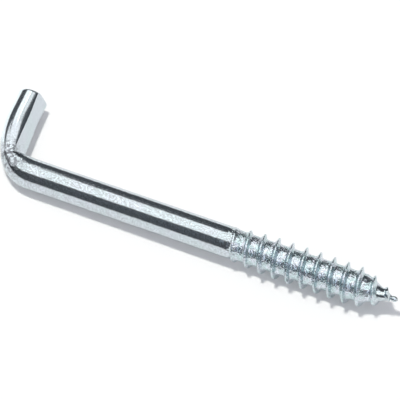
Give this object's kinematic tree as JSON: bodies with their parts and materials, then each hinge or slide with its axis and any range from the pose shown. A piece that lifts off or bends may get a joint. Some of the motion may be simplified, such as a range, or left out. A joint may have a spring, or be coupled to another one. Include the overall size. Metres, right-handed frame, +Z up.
{
  "type": "square-bend screw hook",
  "caption": "L-shaped screw hook: a round steel wire with a short square arm at one end and a wood-screw thread with a gimlet tip at the other, lying on its side.",
  "frame": {"origin": "middle of the outline seen from above, on the surface the hook lies on", "axes": "+X along the shank towards the tip, +Y along the arm, +Z up"},
  "size_m": [0.0808, 0.0192, 0.0076],
  "materials": {
    "zinc_steel": "bright blue-white zinc plating on smooth drawn wire"
  },
  "bodies": {
    "root": {"hook": "zinc_steel"}
  },
  "joints": []
}
